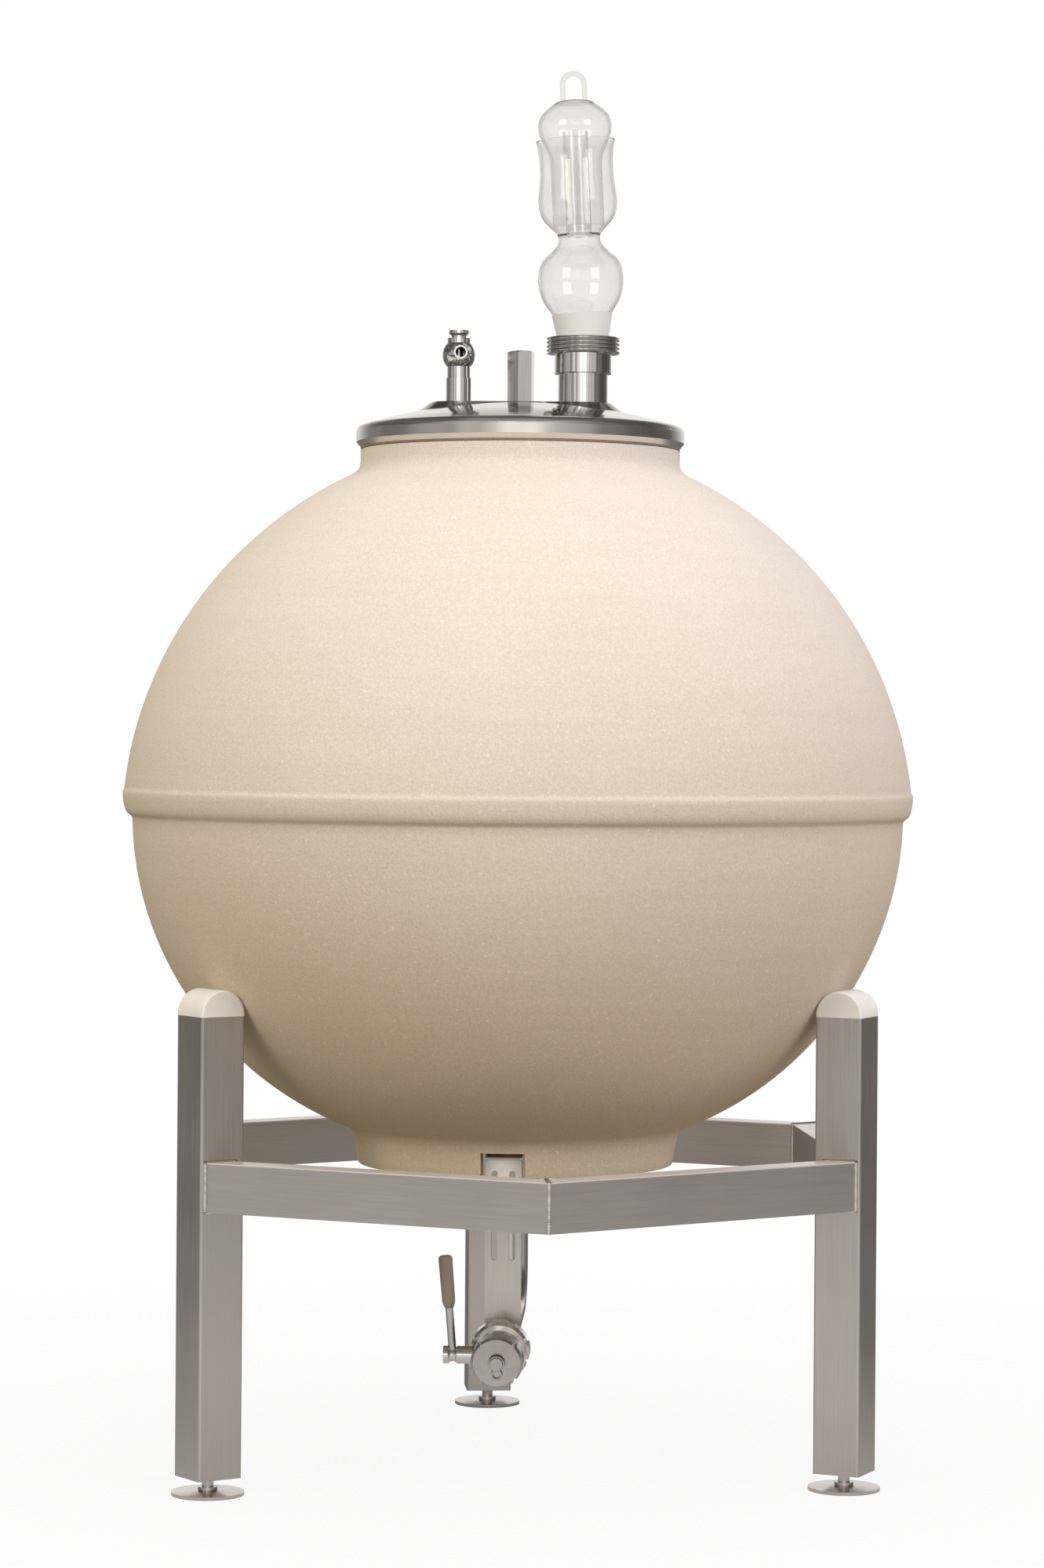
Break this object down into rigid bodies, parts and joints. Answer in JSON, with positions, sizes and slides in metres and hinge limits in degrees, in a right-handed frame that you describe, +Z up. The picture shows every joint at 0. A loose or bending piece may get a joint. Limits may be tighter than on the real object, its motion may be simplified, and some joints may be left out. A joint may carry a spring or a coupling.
{
  "type": "spherical stoneware fermentation vessel",
  "caption": "Spherical stoneware vessel for fermenting wine on a three-legged steel stand, with a clamped lid, a glass airlock and a lever drain valve.",
  "frame": {"origin": "on the floor under the vessel's axis", "axes": "+Z up along the vessel's axis, -Y towards the front with the drain, +X to the right with the airlock"},
  "size_m": [0.837, 0.8366, 1.4758],
  "materials": {
    "stoneware": "matt unglazed stoneware, fine speckle",
    "stand_steel": "satin brushed stainless steel",
    "lid_steel": "polished stainless steel",
    "fitting_steel": "polished stainless steel, turned",
    "saddle_plastic": "white polyethylene",
    "seal_rubber": "food-grade rubber",
    "stopper_silicone": "translucent white silicone",
    "clear_glass": "clear blown borosilicate glass",
    "grip_plastic": "grey plastic"
  },
  "bodies": {
    "stand": {"vessel": "stoneware", "leg_back": "stand_steel", "leg_right": "stand_steel", "leg_left": "stand_steel", "leg_cap_back": "saddle_plastic", "leg_cap_right": "saddle_plastic", "leg_cap_left": "saddle_plastic", "leg_bush_back": "stand_steel", "leg_bush_right": "stand_steel", "leg_bush_left": "stand_steel", "ring_beam_1": "stand_steel", "ring_beam_2": "stand_steel", "ring_beam_3": "stand_steel", "ring_beam_4": "stand_steel", "ring_beam_5": "stand_steel", "ring_beam_6": "stand_steel", "tie_rod": "fitting_steel", "bridge_bar": "stand_steel", "bridge_pads": "seal_rubber", "drain_flange": "fitting_steel", "drain_gasket": "seal_rubber", "base_gasket": "seal_rubber", "drain_ring_nut": "fitting_steel", "down_pipe": "fitting_steel", "drain_elbow": "fitting_steel", "drain_run": "fitting_steel", "hanger_lug": "stand_steel", "hanger_plate": "stand_steel", "hanger_bolts": "fitting_steel", "union_nut": "fitting_steel", "union_seal": "seal_rubber", "valve_body": "fitting_steel"},
    "lid": {"lid_shell": "lid_steel", "lid_gasket": "seal_rubber", "nozzle_tube": "fitting_steel", "threaded_ferrule": "fitting_steel", "relief_tube": "fitting_steel", "relief_body": "fitting_steel", "stopper": "stopper_silicone", "airlock_body": "clear_glass", "airlock_bell": "clear_glass"},
    "clamp_nut": {"clamp_nut": "fitting_steel"},
    "relief_poppet": {"relief_poppet": "fitting_steel"},
    "valve_lever": {"valve_disc": "fitting_steel", "lever_hub": "fitting_steel", "lever_rod": "fitting_steel", "lever_grip": "grip_plastic"},
    "blind_cap": {"blind_cap": "fitting_steel", "cap_seal": "seal_rubber"},
    "wire_link": {"wire_link": "fitting_steel"},
    "foot_back": {"levelling_foot_back": "fitting_steel"},
    "foot_right": {"levelling_foot_right": "fitting_steel"},
    "foot_left": {"levelling_foot_left": "fitting_steel"}
  },
  "joints": [
    {"name": "lid_lift", "type": "slide", "parent": "stand", "child": "lid", "axis": [0, 0, 1], "range_m": [0, 0.15]},
    {"name": "clamp_nut_turn", "type": "hinge", "parent": "lid", "child": "clamp_nut", "pos_m": [0, 0, 1.15], "axis": [0, 0, 1], "continuous": true},
    {"name": "relief_lift", "type": "slide", "parent": "lid", "child": "relief_poppet", "axis": [0, 0, 1], "range_m": [0, 0.004], "stiffness_N_per_m": 400, "springref_m": -0.004},
    {"name": "valve_turn", "type": "hinge", "parent": "stand", "child": "valve_lever", "pos_m": [-0.01513, -0.20122, 0.14094], "axis": [0.9972, -0.075, 0], "range_deg": [0, 90]},
    {"name": "blind_cap_turn", "type": "hinge", "parent": "stand", "child": "blind_cap", "pos_m": [-0.01647, -0.21899, 0.13843], "axis": [-0.0742, -0.9875, -0.1392], "continuous": true},
    {"name": "wire_link_swing", "type": "hinge", "parent": "blind_cap", "child": "wire_link", "pos_m": [-0.01736, -0.23084, 0.13676], "axis": [-0.0742, -0.9875, -0.1392], "continuous": true},
    {"name": "foot_back_level", "type": "slide", "parent": "stand", "child": "foot_back", "axis": [0, 0, 1], "range_m": [-0.035, 0.006]},
    {"name": "foot_right_level", "type": "slide", "parent": "stand", "child": "foot_right", "axis": [0, 0, 1], "range_m": [-0.035, 0.006]},
    {"name": "foot_left_level", "type": "slide", "parent": "stand", "child": "foot_left", "axis": [0, 0, 1], "range_m": [-0.035, 0.006]}
  ]
}
